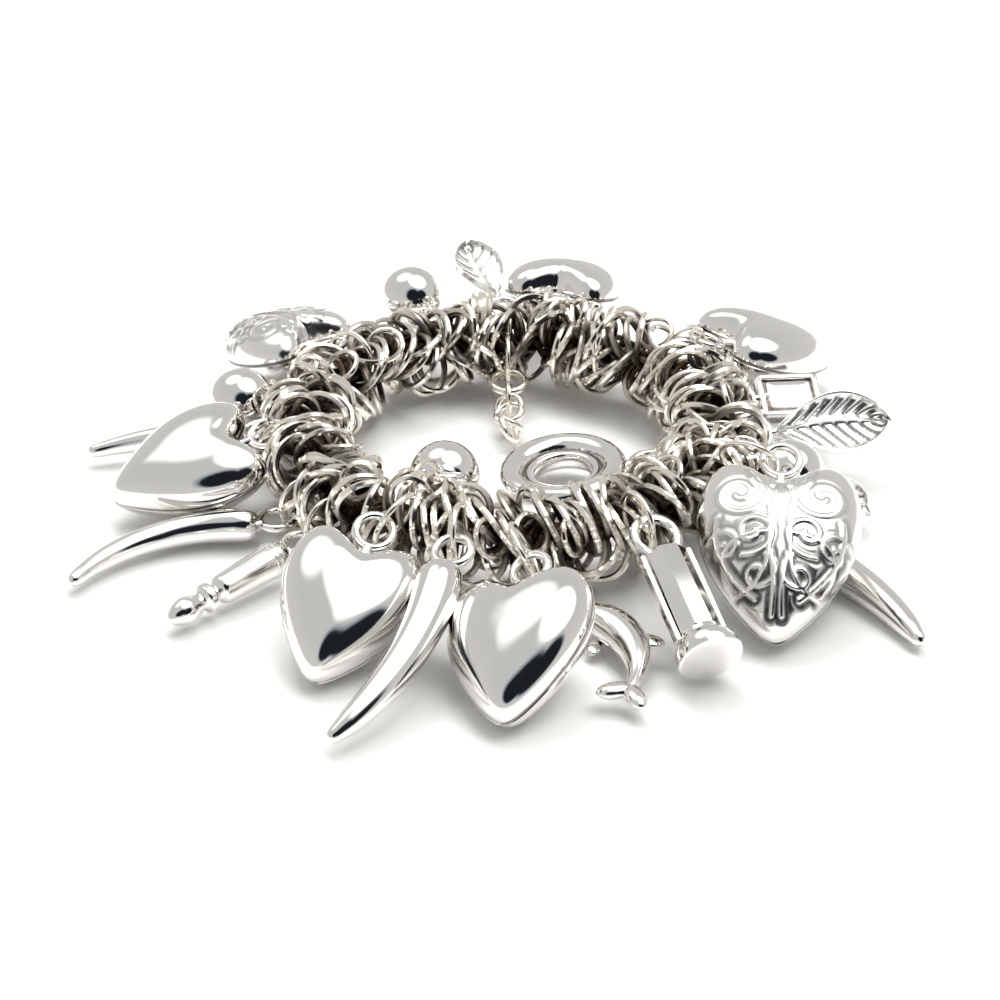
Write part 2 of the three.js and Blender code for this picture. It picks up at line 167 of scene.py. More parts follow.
def skin(sections, first=None, last=None, tarnish_and_shade=None):
    """A skin through closed sections of equal count, shut by a fan at each given end point."""
    count = len(sections[0])
    points = [point for section in sections for point in section]
    faces = []
    for row in range(len(sections) - 1):
        for i in range(count):
            near = row * count + i
            side = row * count + (i + 1) % count
            faces.append([near, side, side + count, near + count])
    for end, row, forward in ((first, 0, False), (last, len(sections) - 1, True)):
        if end is not None:
            points.append(end)
            tip = len(points) - 1
            for i in range(count):
                pair = [row * count + i, row * count + (i + 1) % count]
                faces.append([*pair, tip] if forward else [*reversed(pair), tip])
    if tarnish_and_shade is not None:
        tarnish_and_shade = tarnish_and_shade + [tarnish_and_shade[-1]] * (len(points) - len(tarnish_and_shade))
    return Shell(points, faces, tarnish_and_shade)


def ring(radius, wire, segments=RING_SEGMENTS, sides=RING_SIDES, slit=0.0, start=0.0):
    """A wire ring in the XY plane. A slit, in millimetres, leaves it cut as a jump ring is."""
    gap = slit / radius
    steps = segments + 1 if slit else segments
    sections = []
    for step in range(steps):
        around = start + gap / 2 + (TAU - gap) * step / segments
        middle = Vector((math.cos(around), math.sin(around), 0))
        section = []
        for side in range(sides):
            turn = TAU * side / sides
            reach = radius + wire / 2 * math.cos(turn)
            section.append(middle * reach + Vector((0, 0, wire / 2 * math.sin(turn))))
        sections.append(section)
    if slit:
        ends = [sum(sections[i], Vector()) / sides for i in (0, -1)]
        return skin(sections, ends[0], ends[1])
    return skin(sections + [sections[0]])


def lathe(profile, segments=ROUND):
    """A turned body round the X axis. The profile runs from (x, half width) to (x, half width)."""
    sections = []
    for x, half in profile[1:-1]:
        sections.append([
            Vector((x, half * math.cos(TAU * i / segments), half * math.sin(TAU * i / segments)))
            for i in range(segments)
        ])
    first = Vector((profile[0][0], 0, 0))
    last = Vector((profile[-1][0], 0, 0))
    return skin(sections, first, last)


def smooth_step(low, high, value):
    share = min(1.0, max(0.0, (value - low) / (high - low)))
    return share * share * (3 - 2 * share)


def smooth_between(table, share):
    """The value at a share of the way through a table of (share, value), along a smooth curve."""
    last = len(table) - 1
    i = next((k for k in range(last) if share <= table[k + 1][0]), last - 1)
    (x0, y0), (x1, y1) = table[i], table[i + 1]
    before = table[max(i - 1, 0)]
    after = table[min(i + 2, last)]
    slope0 = (y1 - before[1]) / max(x1 - before[0], 1e-9)
    slope1 = (after[1] - y0) / max(after[0] - x0, 1e-9)
    width = x1 - x0
    t = (share - x0) / width
    return (
        y0 * (1 + 2 * t) * (1 - t) ** 2
        + y1 * t * t * (3 - 2 * t)
        + slope0 * width * t * (1 - t) ** 2
        - slope1 * width * t * t * (1 - t)
    )


def curved_bar(start, length, bend, half_at, rows=64, sides=32, flatness=1.0):
    """A round bar along an arc in the XY plane whose chord lies along +X."""
    curvature = bend / length
    sections = []
    for row in range(rows + 1):
        share = 0.5 - 0.5 * math.cos(math.pi * row / rows)
        half = half_at(share)
        heading = curvature * length * share - bend / 2
        x = start + (math.sin(heading) + math.sin(bend / 2)) / curvature
        y = (math.cos(bend / 2) - math.cos(heading)) / curvature
        section = []
        for i in range(sides):
            turn = TAU * i / sides
            across = half * math.cos(turn)
            point = (x - across * math.sin(heading), y + across * math.cos(heading),
                     half * flatness * math.sin(turn))
            section.append(Vector(point))
        sections.append(section)
    ends = [sum(sections[i], Vector()) / sides for i in (0, -1)]
    return skin(sections, ends[0], ends[1])


def bail(seat=BAIL_END, collar=1.0):
    """The soldered bail, with a neck that swells into the charm, whose surface is at seat on the X axis."""
    length = seat + NECK_SINK - BAIL_RADIUS
    half = NECK_WIDTH / 2
    profile = [(BAIL_RADIUS, 0), (BAIL_RADIUS, half)]
    for step in range(1, 9):
        share = step / 8
        swell = collar * NECK_SWELL * half * share ** 2
        profile.append((BAIL_RADIUS + length * share, half + swell))
    profile.append((BAIL_RADIUS + length, 0))
    return joined([ring(BAIL_RADIUS, BAIL_WIRE, BAIL_SEGMENTS, BAIL_SIDES), lathe(profile, 20)])


# Hearts
HEART_MIDDLE = 0.44
FACE_FULLNESS = 2.4
BACK_FULLNESS = 2
SEAM_HALF = 0.34
SEAM_DEPTH = 0.2


def heart_point(size, t, scale, softness=0.75):
    """A point of the heart's outline at a scale about its middle. The cleft fades towards the middle."""
    lobes = 3.5 * math.cos(2 * t) + 1.5 * math.cos(3 * t) + 0.5 * math.cos(4 * t)
    along = 13 * math.cos(t) - lobes * scale ** softness
    share = (10.8 - along) / 26.3
    across = (0.92 * math.sin(t) - 0.1 * math.sin(3 * t)) / 1.02
    start = BAIL_RADIUS - BAIL_WIRE / 2
    x = start + size["length"] * (HEART_MIDDLE + scale * (share - HEART_MIDDLE))
    return x, scale * across * size["width"] / 2


def heart_rise(scale, fullness):
    """The share of its half depth that a heart has at a scale about its middle. A round's fullness is 2."""
    return (1 - scale ** fullness) ** (1 / fullness)


def heart_levels(size, rows):
    """Scale, height and darkening of a heart's sections from back to front, with its dark seam."""
    levels = []
    for row in range(1, rows):
        slope = math.pi * row / rows
        scale = math.sin(slope)
        side, fullness = (-1, BACK_FULLNESS) if row < rows / 2 else (1, FACE_FULLNESS)
        height = side * heart_rise(scale, fullness) * size["depth"] / 2
        if abs(height) > 1.2 * SEAM_HALF:
            levels.append((scale, height, 0.0))
    sunk = 1 - SEAM_DEPTH / (size["width"] / 2)
    for side in (-1, 1):
        levels.append((1.0, side * SEAM_HALF, 0.1))
        levels.append((sunk, side * SEAM_HALF * 0.35, 0.8))
    return sorted(levels, key=lambda level: level[1])


def heart_shell(size, columns=112, rows=56):
    levels = heart_levels(size, rows)
    sections = [
        [Vector((*heart_point(size, TAU * i / columns, scale), height)) for i in range(columns)]
        for scale, height, _ in levels
    ]
    tarnish_and_shade = [dark for _, _, dark in levels for _ in range(columns)]
    middle = BAIL_RADIUS - BAIL_WIRE / 2 + size["length"] * HEART_MIDDLE
    back = Vector((middle, 0, -size["depth"] / 2))
    front = Vector((middle, 0, size["depth"] / 2))
    return skin(sections, back, front, tarnish_and_shade)


def puffed_heart(size):
    cleft = heart_point(size, 0, 1)[0]
    return joined([heart_shell(size), bail(cleft)])


def spiral(middle, radius, turns, start, hand, points=90):
    """Points of a scroll that winds in from its outer end."""
    result = []
    for i in range(points):
        share = i / (points - 1)
        angle = start + hand * TAU * turns * share
        reach = radius * (1 - 0.86 * share ** 0.8)
        result.append(Vector((middle[0] + reach * math.cos(angle), middle[1] + reach * math.sin(angle), 0)))
    return result


def stem(first, bulge, last, points=40):
    """Points of a bent stem from first to last that passes near bulge."""
    a, b, c = Vector((*first, 0)), Vector((*bulge, 0)), Vector((*last, 0))
    steps = [i / (points - 1) for i in range(points)]
    return [a * (1 - s) ** 2 + b * 2 * s * (1 - s) + c * s * s for s in steps]


# The scrolls on a heart's face, as shares of its length and half width, for the side with y over zero
SCROLLS = [
    {"along": 0.27, "across": 0.5, "radius": 0.17, "turns": 1.6, "start": 200, "hand": 1},
    {"along": 0.5, "across": 0.33, "radius": 0.13, "turns": 1.4, "start": 20, "hand": -1},
    {"along": 0.57, "across": 0.66, "radius": 0.1, "turns": 1.2, "start": 120, "hand": 1},
    {"along": 0.72, "across": 0.24, "radius": 0.1, "turns": 1.3, "start": 200, "hand": 1},
    {"along": 0.17, "across": 0.17, "radius": 0.07, "turns": 1.1, "start": 90, "hand": -1},
]
STEMS = [
    {"first": (0.1, 0.34), "bulge": (0.3, 0.08), "last": (0.5, 0.12)},
    {"first": (0.4, 0.75), "bulge": (0.62, 0.86), "last": (0.84, 0.26)},
    {"first": (0.62, 0.1), "bulge": (0.78, 0.02), "last": (0.92, 0.06)},
    {"first": (0.5, 0.12), "bulge": (0.52, 0.95), "last": (0.8, 0.5)},
    {"first": (0.5, 0.12), "bulge": (0.82, 0.1), "last": (0.8, 0.5)},
]
SCROLL_WIDTH = 0.5
SCROLL_RELIEF = 0.26
GROOVE_WIDTH = 0.55
GROOVE_DEPTH = 0.16


def scroll_points(size):
    start = BAIL_RADIUS - BAIL_WIRE / 2
    half = size["width"] / 2

    def placed(along, across, side):
        return start + size["length"] * along, side * half * across

    points = []
    for side in (-1, 1):
        for row in SCROLLS:
            middle = placed(row["along"], row["across"], side)
            opening = math.radians(side * row["start"])
            radius = row["radius"] * size["length"]
            points += spiral(middle, radius, row["turns"], opening, side * row["hand"])
        for row in STEMS:
            points += stem(*(placed(*row[key], side) for key in ("first", "bulge", "last")))
    return points


def scrolled_heart(size):
    """A puffed heart whose face has raised scrolls with grooves beside them. The grooves carry slight patina
    and, towards the tip, a painted dark reflection, darkest near the tip.
    """
    body = heart_shell(size, columns=300, rows=150)
    points = scroll_points(size)
    tree = kdtree.KDTree(len(points))
    for i, point in enumerate(points):
        tree.insert(point, i)
    tree.balance()
    middle = Vector((BAIL_RADIUS - BAIL_WIRE / 2 + size["length"] * HEART_MIDDLE, 0, 0))
    for i, point in enumerate(body.points):
        field = smooth_step(0.1, 0.4, 2 * point.z / size["depth"])
        away = tree.find(Vector((point.x, point.y, 0)))[2]
        line = max(0.0, 1 - (away / SCROLL_WIDTH) ** 2)
        groove = max(0.0, 1 - ((away - SCROLL_WIDTH - GROOVE_WIDTH / 2) / GROOVE_WIDTH) ** 2)
        near_tip = smooth_step(-0.15, 0.35, (point.x - middle.x) / size["length"])
        rise = SCROLL_RELIEF * math.sqrt(line) - GROOVE_DEPTH * groove
        point += (point - middle).normalized() * field * rise * (0.5 + 0.5 * near_tip)
        # Grooves get a little patina everywhere, plus a painted dark reflection that grows towards the tip
        body.tarnish_and_shade[i] = max(body.tarnish_and_shade[i], field * groove * (0.12 + 0.88 * near_tip))
    return joined([body, bail(heart_point(size, 0, 1)[0])])


# Other charms
def horn_half(size):
    width, tip = size["width"], size["tip"]
    table = [(0, width * 0.3), (0.03, width * 0.44), (0.1, width * 0.5), (0.3, width * 0.46),
             (0.5, width * 0.41), (0.7, width * 0.35), (0.87, width * 0.27), (0.95, tip * 0.86),
             (0.985, tip * 0.62), (1, tip * 0.2)]
    return lambda share: smooth_between(table, share)


def curved_horn(size):
    bar = curved_bar(BAIL_END, size["length"], math.radians(size["bend"]), horn_half(size))
    return joined([bar, bail()])


def round_ball(size):
    radius = size["diameter"] / 2
    middle = BAIL_END + radius
    rows = 40
    profile = [
        (middle - radius * math.cos(math.pi * row / rows), radius * math.sin(math.pi * row / rows))
        for row in range(rows + 1)
    ]
    cup = [(BAIL_END - 0.2, 0), (BAIL_END - 0.2, 1.1), (BAIL_END + 0.15, 1.7), (BAIL_END + 0.5, 2.2),
           (BAIL_END + 1.2, 2.0), (BAIL_END + 1.4, 0)]
    return joined([lathe(profile, 64), lathe(cup, 32), bail()])


def veined_leaf(size):
    """A cupped leaf with a smooth raised rim, a bent midrib and slanting grooves between its veins."""
    rows, columns = 110, 72
    slant = 0.5
    start = BAIL_END
    sections = []
    tarnish_and_shade = []
    for row in range(rows):
        share = (row + 0.4) / (rows - 0.2)
        half = size["width"] / 2 * math.sin(math.pi * min(share, 0.9995) ** 1.12) ** 0.56
        bend = 0.1 * size["width"] * math.sin(math.pi * share)
        section = []
        for face in (1, -1):
            for k in range(columns // 2 + 1):
                column = face * (-1 + 4 * k / columns)
                side = abs(column)
                x = start + size["length"] * 0.94 * share + side * half * slant * (1 - share)
                rim = smooth_step(0.76, 0.84, side)
                midrib = 1 - smooth_step(0.02, 0.08, side)
                phase = size["veins"] * (share * 1.2 - side * 0.3)
                groove = smooth_step(0.45, 0.95, math.cos(TAU * phase)) * smooth_step(0.08, 0.2, side)
                sunk = groove * (1 - rim) * (1 - midrib)
                raised = max(rim, midrib) if face > 0 else 0
                edge = math.sqrt(max(0.0, 1 - max(0.0, (side - 0.9) / 0.1) ** 2))
                z = size["cup"] * column * column + face * size["thickness"] / 2 * edge
                relief = size["relief"] * (raised - 0.55 * sunk) if face > 0 else 0
                section.append(Vector((x, column * half + bend * (1 - side), z + relief * edge)))
                darkness = 0.24 + 0.6 * smooth_step(0.45, 0.85, share)
                tarnish_and_shade.append(darkness * sunk if face > 0 else 0.15)
        sections.append(section)
    first = Vector((start, 0, 0))
    last = Vector((start + size["length"], 0, 0))
    return joined([skin(sections, first, last, tarnish_and_shade), bail()])


def ellipsoid(radii, rows=16, columns=24):
    sections = []
    for row in range(1, rows):
        slope = math.pi * row / rows
        x = -radii[0] * math.cos(slope)
        sections.append([
            Vector((x, radii[1] * math.sin(slope) * math.cos(TAU * i / columns),
                    radii[2] * math.sin(slope) * math.sin(TAU * i / columns)))
            for i in range(columns)
        ])
    return skin(sections, Vector((-radii[0], 0, 0)), Vector((radii[0], 0, 0)))


def leaping_dolphin(size):
    width, length = size["width"], size["length"]
    bend = math.radians(100)
    table = [(0, width * 0.1), (0.08, width * 0.24), (0.16, width * 0.4), (0.32, width * 0.5),
             (0.5, width * 0.48), (0.68, width * 0.36), (0.84, width * 0.22), (1, width * 0.14)]
    body = curved_bar(BAIL_END, length, bend, lambda share: smooth_between(table, share), flatness=0.9)
    chord = length * math.sin(bend / 2) / (bend / 2)
    tail = Matrix.Translation((BAIL_END + chord, 0, 0))
    shells = [body]
    for side in (-1, 1):
        lobe = ellipsoid((size["fluke_span"] * 0.33, width * 0.25, width * 0.18))
        turned = Matrix.Rotation(bend / 2 + side * math.radians(48), 4, "Z")
        shells.append(lobe.moved(tail @ turned @ Matrix.Translation((size["fluke_span"] * 0.24, 0, 0))))
    crown = length / bend * (1 - math.cos(bend / 2))
    fin = ellipsoid((size["fin_height"] * 0.8, width * 0.24, width * 0.11))
    fin_place = Matrix.Translation((BAIL_END + chord * 0.56, -crown - width * 0.48, 0))
    shells.append(fin.moved(fin_place @ Matrix.Rotation(math.radians(-48), 4, "Z")))
    flipper = ellipsoid((size["fin_height"] * 0.62, width * 0.2, width * 0.1))
    flipper_place = Matrix.Translation((BAIL_END + chord * 0.36, -crown * 0.55 + width * 0.3, width * 0.36))
    shells.append(flipper.moved(flipper_place @ Matrix.Rotation(math.radians(40), 4, "Z")))
    shells.append(bail())
    return joined(shells)


def turned_bottle(size):
    start, length = BAIL_END, size["length"]
    width, collar, bulb = size["width"], size["collar"], size["bulb"]
    table = [(0, 0.3 * width), (0.03, 0.42 * width), (0.08, 0.5 * width), (0.3, 0.475 * width),
             (0.54, 0.425 * width), (0.57, 0.38 * width), (0.6, 0.25 * width), (0.625, 0.28 * width),
             (0.64, 0.5 * collar), (0.67, 0.52 * collar), (0.7, 0.5 * collar), (0.725, 0.34 * bulb),
             (0.77, 0.38 * bulb), (0.84, 0.5 * bulb), (0.9, 0.46 * bulb), (0.95, 0.34 * bulb),
             (0.985, 0.18 * bulb), (1, 0.05 * bulb)]
    rows = 110
    profile = [(start + length * i / rows, smooth_between(table, i / rows)) for i in range(rows + 1)]
    band = ring(width * 0.49, width * 0.09, 48, 8)
    upright = Matrix.Rotation(math.pi / 2, 4, "Y")
    bands = [band.moved(Matrix.Translation((start + length * at, 0, 0)) @ upright) for at in (0.1, 0.14)]
    return joined([lathe([(start, 0), *profile, (start + length, 0)]), *bands, bail()])


STIRRUP_STRETCH = 1.3
SHOULDER = BAIL_RADIUS * 1.25
RAIL_WIDTH = 0.9
RAIL_HEIGHT = 1.8


def stamp_in_stirrup(size):
    """A faceted tube with a flared round foot, held by a stirrup whose arms run on down its sides."""
    length, width, end = size["length"], size["width"], size["end"]
    facets = 8
    tube_profile = [(0, 0.42 * width), (0.015, 0.47 * width), (0.04, 0.5 * width), (0.76, 0.5 * width)]
    sections = []
    for share, half in tube_profile:
        sections.append([
            Vector((SHOULDER + length * share, half * math.cos(TAU * (i + 0.5) / facets),
                    half * math.sin(TAU * (i + 0.5) / facets)))
            for i in range(facets)
        ])
    tube = skin(sections, Vector((SHOULDER, 0, 0)), Vector((SHOULDER + length * 0.76, 0, 0)))
    foot_profile = [(0.74, 0), (0.74, 0.4 * width), (0.76, 0.47 * width), (0.8, 0.49 * width),
                    (0.84, 0.41 * end), (0.87, 0.47 * end), (0.9, 0.492 * end), (0.93, 0.5 * end),
                    (0.97, 0.5 * end), (0.985, 0.49 * end), (0.995, 0.46 * end), (1, 0.4 * end),
                    (1.004, 0.25 * end), (1.005, 0)]
    foot = lathe([(SHOULDER + length * share, half) for share, half in foot_profile], 64)
    stirrup = ring(BAIL_RADIUS, BAIL_WIRE, 56, 14)
    stretch = Matrix.Diagonal((STIRRUP_STRETCH, size["stirrup_width"] / 2 / BAIL_END, 1, 1))
    rails = []
    for side in (-1, 1):
        middle = Vector((SHOULDER + length * 0.4, side * (width / 2 + RAIL_WIDTH * 0.3), 0))
        rails.append(rounded_slab(length * 0.8, RAIL_WIDTH, RAIL_HEIGHT, 0.3, 0.2, middle))
    return joined([tube, foot, stirrup.moved(stretch), *rails])


def rounded_slab(size_x, size_y, thickness, corner, edge, middle, steps=6):
    """A flat slab with rounded corners and softened edges, its faces square to Z."""
    outline = []
    for quarter in range(4):
        centre = Vector((
            (size_x / 2 - corner) * (1 if quarter in (0, 3) else -1),
            (size_y / 2 - corner) * (1 if quarter in (0, 1) else -1),
            0,
        ))
        for step in range(steps + 1):
            turn = math.pi / 2 * (quarter + step / steps)
            outline.append((centre, Vector((math.cos(turn), math.sin(turn), 0))))
    levels = [(-thickness / 2, edge), (-thickness / 2 + edge * 0.3, edge * 0.3), (-thickness / 2 + edge, 0),
              (thickness / 2 - edge, 0), (thickness / 2 - edge * 0.3, edge * 0.3), (thickness / 2, edge)]
    sections = [
        [middle + centre + way * (corner - inset) + Vector((0, 0, z)) for centre, way in outline]
        for z, inset in levels
    ]
    low, high = Vector((0, 0, -thickness / 2)), Vector((0, 0, thickness / 2))
    return skin(sections, middle + low, middle + high)


def rimmed_plaque(size):
    """A plaque with a raised round rim, a dark groove inside it and a bright panel in the middle."""
    length, width, thickness, rim = size["length"], size["width"], size["thickness"], size["rim"]
    middle = Vector((BAIL_END + length / 2, 0, 0))
    floor_z = thickness / 2 - size["recess"]
    slab = rounded_slab(length, width, floor_z + thickness / 2, 0.7, 0.15, middle)
    slab = slab.moved(Matrix.Translation((0, 0, (floor_z - thickness / 2) / 2)))
    slab.tarnish_and_shade = [0.95 if point.z > floor_z - 0.2 else 0.1 for point in slab.points]
    bars = []
    for across, along, shift in (
        (rim, width, Vector(((length - rim) / 2, 0, 0))),
        (rim, width, Vector((-(length - rim) / 2, 0, 0))),
        (length, rim, Vector((0, (width - rim) / 2, 0))),
        (length, rim, Vector((0, -(width - rim) / 2, 0))),
    ):
        bars.append(rounded_slab(across, along, thickness, 0.45, 0.3, middle + shift))
    panel = rounded_slab(length - 2 * rim - 1.1, width - 2 * rim - 1.1, 0.9, 0.5, 0.2, middle)
    panel = panel.moved(Matrix.Translation((0, 0, thickness / 2 - 0.5)))
    return joined([slab, *bars, panel, bail()])


def hanging_links(size):
    """A row of small links that hang in each other, with two more bunched beside them."""
    radius, wire = size["radius"], size["wire"]
    step = 2 * radius - wire * 0.4
    shells = [ring(BAIL_RADIUS, BAIL_WIRE, BAIL_SEGMENTS, BAIL_SIDES)]
    for i in range(size["count"]):
        turned = Matrix.Rotation((i + 1) * math.pi / 2 + 0.3 * i, 4, "X")
        place = Matrix.Translation((BAIL_RADIUS + radius - wire * 0.6 + i * step, 0, 0))
        shells.append(ring(radius, wire, 32, 12).moved(place @ turned))
    for i, lean in enumerate((0.5, -0.7)):
        place = Matrix.Translation((BAIL_RADIUS + radius + (i + 0.5) * step, 0, 0))
        turned = Matrix.Rotation(lean, 4, "X") @ Matrix.Rotation(lean, 4, "Y")
        shells.append(ring(radius, wire, 32, 12).moved(place @ turned))
    return joined(shells)


def clasp_ring(size):
    """A thick round ring with a stepped lip round its hole and an eyelet on its outer side."""
    half = size["height"] / 2
    hole, wall = size["hole"], size["outer"] - size["hole"]
    lip = size["lip"]
    outline = [
        (hole + 0.05, -half * 0.45), (hole, -half * 0.2), (hole, half * 0.2), (hole + 0.15, half * 0.38),
        (hole + 0.45, half * 0.47), (hole + lip * 0.7, half * 0.46), (hole + lip * 0.85, half * 0.3),
        (hole + lip, half * 0.32), (hole + lip * 1.1, half * 0.62), (hole + wall * 0.42, half * 0.88),
        (hole + wall * 0.55, half * 0.97), (hole + wall * 0.7, half), (hole + wall * 0.84, half * 0.9),
        (hole + wall * 0.94, half * 0.62), (hole + wall * 0.985, half * 0.3), (hole + wall, 0),
        (hole + wall * 0.985, -half * 0.3), (hole + wall * 0.94, -half * 0.62),
        (hole + wall * 0.84, -half * 0.88), (hole + wall * 0.7, -half), (hole + wall * 0.5, -half * 0.97),
        (hole + wall * 0.3, -half * 0.88), (hole + wall * 0.1, -half * 0.66),
    ]
    # The groove in the lip is painted dark: painted shade and a painted dark reflection between the two
    # bright ridges
    dark = [0.8 if hole + lip * 0.75 < reach < hole + lip * 1.05 and z > 0 else 0.0 for reach, z in outline]
    segments = 96
    middle = BAIL_END + size["outer"]
    sections = []
    for step in range(segments):
        around = TAU * step / segments
        sections.append([
            Vector((middle + reach * math.cos(around), reach * math.sin(around), z)) for reach, z in outline
        ])
    body = Shell(*ring_of(sections), dark * segments)
    return joined([body, bail(BAIL_END, 1.4)])


def ring_of(sections):
    """Points and faces of sections that close on themselves."""
    count = len(sections[0])
    total = len(sections) * count
    points = [point for section in sections for point in section]
    faces = []
    for row in range(len(sections)):
        for i in range(count):
            near = row * count + i
            side = row * count + (i + 1) % count
            faces.append([near, side, (side + count) % total, (near + count) % total])
    return points, faces


KINDS = {
    "heart": lambda: puffed_heart(HEART),
    "mid_heart": lambda: puffed_heart(MID_HEART),
    "scrolled": lambda: scrolled_heart(HEART),
    "large_scrolled": lambda: scrolled_heart(LARGE_HEART),
    "horn": lambda: curved_horn(HORN),
    "long_horn": lambda: curved_horn(LONG_HORN),
    "short_horn": lambda: curved_horn(SHORT_HORN),
    "ball": lambda: round_ball(BALL),
    "leaf": lambda: veined_leaf(LEAF),
    "small_leaf": lambda: veined_leaf(SMALL_LEAF),
    "dolphin": lambda: leaping_dolphin(DOLPHIN),
    "bottle": lambda: turned_bottle(BOTTLE),
    "stamp": lambda: stamp_in_stirrup(STAMP),
    "plaque": lambda: rimmed_plaque(PLAQUE),
    "links": lambda: hanging_links(LINKS),
    "clasp": lambda: clasp_ring(CLASP),
}
SLOTS = {"scrolled": "engraved_silver", "large_scrolled": "engraved_silver", "leaf": "leaf_silver",
         "small_leaf": "leaf_silver", "links": "ring_silver"}


# Places
def place_of(row):
    """A charm's place in the loop's frame, in millimetres, and the way its ring stands off the bundle."""
    around, up = math.radians(row.angle), math.radians(row.lift)
    outward = Vector((math.cos(around), math.sin(around), 0))
    stand = outward * math.cos(up) + Vector((0, 0, math.sin(up)))
    reach = BUNDLE_RADIUS + row.pull * JUMP_RING_RADIUS
    position = outward * LOOP_RADIUS + Vector((0, 0, BUNDLE_RADIUS)) + stand * reach
    turned = Matrix.Rotation(math.radians(row.angle + row.turn), 4, "Z")
    dipped = Matrix.Rotation(math.radians(row.dip), 4, "Y")
    rolled = Matrix.Rotation(math.radians(row.roll), 4, "X")
    return Matrix.Translation(position) @ turned @ dipped @ rolled, stand


def carrying_ring(row, slit_start):
    """The jump ring through a charm's bail, in a plane square to the bail."""
    place, stand = place_of(row)
    face, drop = place.col[2].to_3d(), place.col[0].to_3d()
    along = (stand - face * stand.dot(face) + drop * 0.1).normalized()
    hang = JUMP_RING_RADIUS - (BAIL_WIRE + JUMP_RING_WIRE) / 2 - CLEARANCE
    middle = place.translation - along * BAIL_RADIUS - stand * hang
    basis = Matrix((along, face, along.cross(face))).transposed().to_4x4()
    wire = ring(JUMP_RING_RADIUS, JUMP_RING_WIRE, 36, 9, slit=SLIT, start=slit_start)
    return wire.moved(Matrix.Translation(middle) @ basis)


def around_bundle(around, side):
    """The axis point at a place round the loop, and the ways out to a side, across it and along the band."""
    outward = Vector((math.cos(around), math.sin(around), 0))
    up = Vector((0, 0, 1))
    axis_point = outward * LOOP_RADIUS + up * BUNDLE_RADIUS
    stand = outward * math.cos(side) + up * math.sin(side)
    along = up.cross(outward)
    return axis_point, stand, along.cross(stand), along


def band_ring_place(around, side, offset, twist, tilt):
    """The frame of a loose ring that hangs on the core and stands out to one side of the bundle."""
    axis_point, stand, across, along = around_bundle(around, side)
    turned = Matrix.Rotation(tilt, 4, across) @ Matrix.Rotation(twist, 4, stand)
    basis = Matrix((stand, across, along)).transposed().to_4x4()
    return Matrix.Translation(axis_point) @ turned @ Matrix.Translation(stand * offset) @ basis


def depth_shade_and_tarnish(shell):
    """Darkens the points that lie deep inside the bundle: painted shade where little light reaches among the
    rings, with some tarnish.
    """
    for i, point in enumerate(shell.points):
        across = math.hypot(point.x, point.y) - LOOP_RADIUS
        reach = math.hypot(across, point.z - BUNDLE_RADIUS)
        shell.tarnish_and_shade[i] = min(1.0, max(0.0, (BUNDLE_RADIUS - DEPTH_SHADE_START - reach) / DEPTH_SHADE_SPAN))
    return shell


def loose_rings(draw):
    """Bunches of nested jump rings all the way round. Each bunch stands out to a side of its own."""
    shells = []
    golden_turn = TAU * (3 - math.sqrt(5)) / 2
    for bunch in range(BUNCHES):
        around = TAU * (bunch + draw.uniform(-0.5, 0.5)) / BUNCHES
        side = (bunch * golden_turn + draw.uniform(-0.2, 0.2)) % TAU
        twist = draw.gauss(0, BUNCH_TWIST)
        tilt = draw.gauss(0, BUNCH_TILT)
        reach = LOOP_RADIUS + BUNDLE_RADIUS * math.cos(side)
        for _ in range(draw.randint(*BUNCH_RINGS)):
            around += RING_SPACING / reach * draw.uniform(*SPACING_SHARE)
            place = band_ring_place(
                around,
                side + math.radians(draw.gauss(0, BUNCH_SPREAD)),
                RING_OFFSET * draw.uniform(*OFFSET_SHARE),
                math.radians(twist + draw.gauss(0, RING_WOBBLE)),
                math.radians(tilt + draw.gauss(0, RING_WOBBLE)),
            )
            wire = ring(JUMP_RING_RADIUS, BAND_WIRE, slit=SLIT, start=draw.uniform(0, TAU))
            shells.append(wire.moved(place))
    return shells


def small_rings(draw):
    """Smaller loose rings that lie against the outside and top of the bundle."""
    shells = []
    for i in range(SMALL_RINGS):
        around = TAU * (i + draw.uniform(-0.35, 0.35)) / SMALL_RINGS
        side = draw.uniform(*SMALL_RING_SIDE)
        axis_point, stand, _, _ = around_bundle(around, side)
        middle = axis_point + stand * (BUNDLE_RADIUS - SMALL_RING_RADIUS)
        turned = stand.to_track_quat("Z", "Y").to_matrix().to_4x4()
        lean = Matrix.Rotation(math.radians(draw.uniform(*SMALL_RING_LEAN)), 4, "X")
        spin = Matrix.Rotation(draw.uniform(0, TAU), 4, "Z")
        wire = ring(SMALL_RING_RADIUS, SMALL_RING_WIRE, 22, slit=SLIT, start=draw.uniform(0, TAU))
        shells.append(wire.moved(Matrix.Translation(middle) @ turned @ spin @ lean))
    return shells


def core_chain():
    """The chain inside the bundle that the loose rings are threaded on."""
    shells = []
    for i in range(CORE_LINKS):
        axis_point, outward, up, along = around_bundle(TAU * i / CORE_LINKS, 0)
        lying = Matrix((outward, along, up)).transposed().to_4x4()
        turned = Matrix.Rotation(math.pi / 2 * (i % 2) + math.pi / 4, 4, along)
        link = ring(CORE_LINK_RADIUS, CORE_LINK_WIRE, 16, 6)
        shells.append(link.moved(Matrix.Translation(axis_point) @ turned @ lying))
    return shells


def ring_band():
    draw = random.Random(BAND_SEED)
    bundle = depth_shade_and_tarnish(joined([*loose_rings(draw), *small_rings(draw), *core_chain()]))
    carrying = [carrying_ring(row, draw.uniform(*CARRYING_SLIT_START)) for row in CHARMS]
    return joined([bundle, *carrying])


